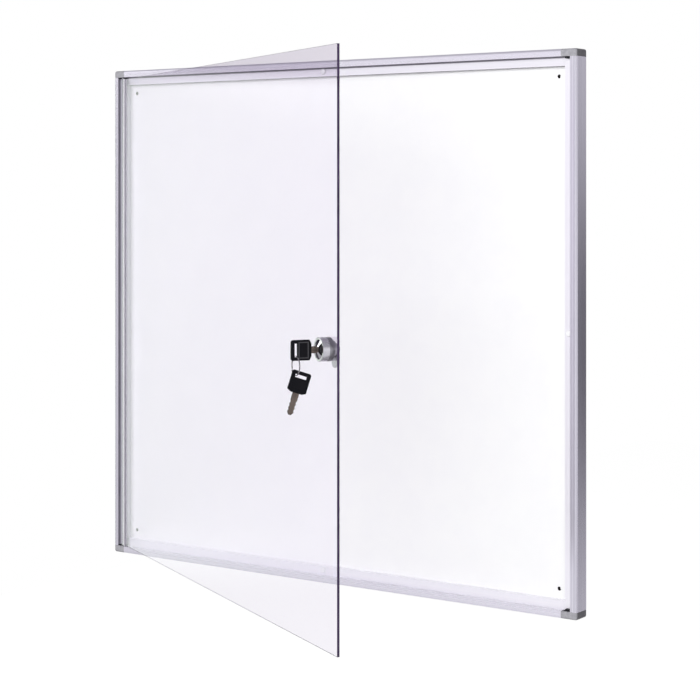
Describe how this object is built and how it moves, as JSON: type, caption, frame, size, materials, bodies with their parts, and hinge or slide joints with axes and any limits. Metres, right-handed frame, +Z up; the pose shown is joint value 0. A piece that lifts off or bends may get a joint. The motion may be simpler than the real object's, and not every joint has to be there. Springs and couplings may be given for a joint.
{
  "type": "lockable notice board",
  "caption": "Shallow wall case for notices: magnetic board in an aluminium frame, clear hinged door held ajar, cam lock near its free edge and two keys on a split ring.",
  "frame": {"origin": "middle of the four wall screw holes, in the plane of the board's back; the wall plane is 1.3 mm behind it", "axes": "+X towards the lock side, +Y into the wall, +Z up; the case faces -Y"},
  "size_m": [0.752, 0.4105, 0.692],
  "materials": {
    "anodised_profile": "satin",
    "cap_plastic": "matte",
    "white_steel": "satin",
    "fibreboard": "matte",
    "back_foil": "satin",
    "clear_acrylic": "gloss",
    "clear_buffer": "gloss",
    "lock_zinc": "satin",
    "lock_face": "polished",
    "lock_washer": "satin",
    "zinc_steel": "satin",
    "wafer_brass": "satin",
    "spring_steel": "satin",
    "blade_metal": "satin",
    "bow_plastic": "matte",
    "ring_steel": "polished"
  },
  "bodies": {
    "case": {"top_rail": "anodised_profile", "bottom_rail": "anodised_profile", "hinge_stile": "anodised_profile", "lock_stile": "anodised_profile", "corner_cap_top_hinge": "cap_plastic", "corner_cap_top_lock": "cap_plastic", "corner_cap_bottom_hinge": "cap_plastic", "corner_cap_bottom_lock": "cap_plastic", "board_face_sheet": "white_steel", "board_core": "fibreboard", "board_back_sheet": "back_foil", "buffer_top": "clear_buffer", "buffer_bottom": "clear_buffer", "buffer_lock_side": "clear_buffer"},
    "door": {"door_hinge_rail": "anodised_profile", "door_panel": "clear_acrylic", "lock_housing": "lock_zinc", "lock_collar": "lock_washer", "lock_nut": "zinc_steel"},
    "lock_barrel": {"lock_plug": "lock_face", "lock_wafers": "wafer_brass", "wafer_springs": "spring_steel", "lock_cam": "zinc_steel", "cam_screw": "zinc_steel"},
    "key_one": {"key_one_blade": "blade_metal", "key_one_bow": "bow_plastic"},
    "split_ring": {"key_ring": "ring_steel"},
    "key_two": {"key_two_blade": "blade_metal", "key_two_bow": "bow_plastic"}
  },
  "joints": [
    {"name": "door_hinge", "type": "hinge", "parent": "case", "child": "door", "pos_m": [-0.3648, -0.0184, 0], "axis": [0, 0, -1], "range_deg": [-29, 66]},
    {"name": "lock_turn", "type": "hinge", "parent": "door", "child": "lock_barrel", "pos_m": [0.25554, -0.36398, 0], "axis": [-0.4848, -0.8746, 0], "range_deg": [0, 90]},
    {"name": "key_draw", "type": "slide", "parent": "lock_barrel", "child": "key_one", "axis": [-0.4848, -0.8746, 0], "range_m": [0, 0.0155]},
    {"name": "ring_swing", "type": "hinge", "parent": "key_one", "child": "split_ring", "pos_m": [0.23564, -0.39988, -0.0064], "axis": [0.8746, -0.4848, 0], "range_deg": [-45, 20]},
    {"name": "key_two_swing", "type": "hinge", "parent": "split_ring", "child": "key_two", "pos_m": [0.23564, -0.39988, -0.027], "axis": [0.8746, -0.4848, 0], "range_deg": [-50, 30]}
  ]
}
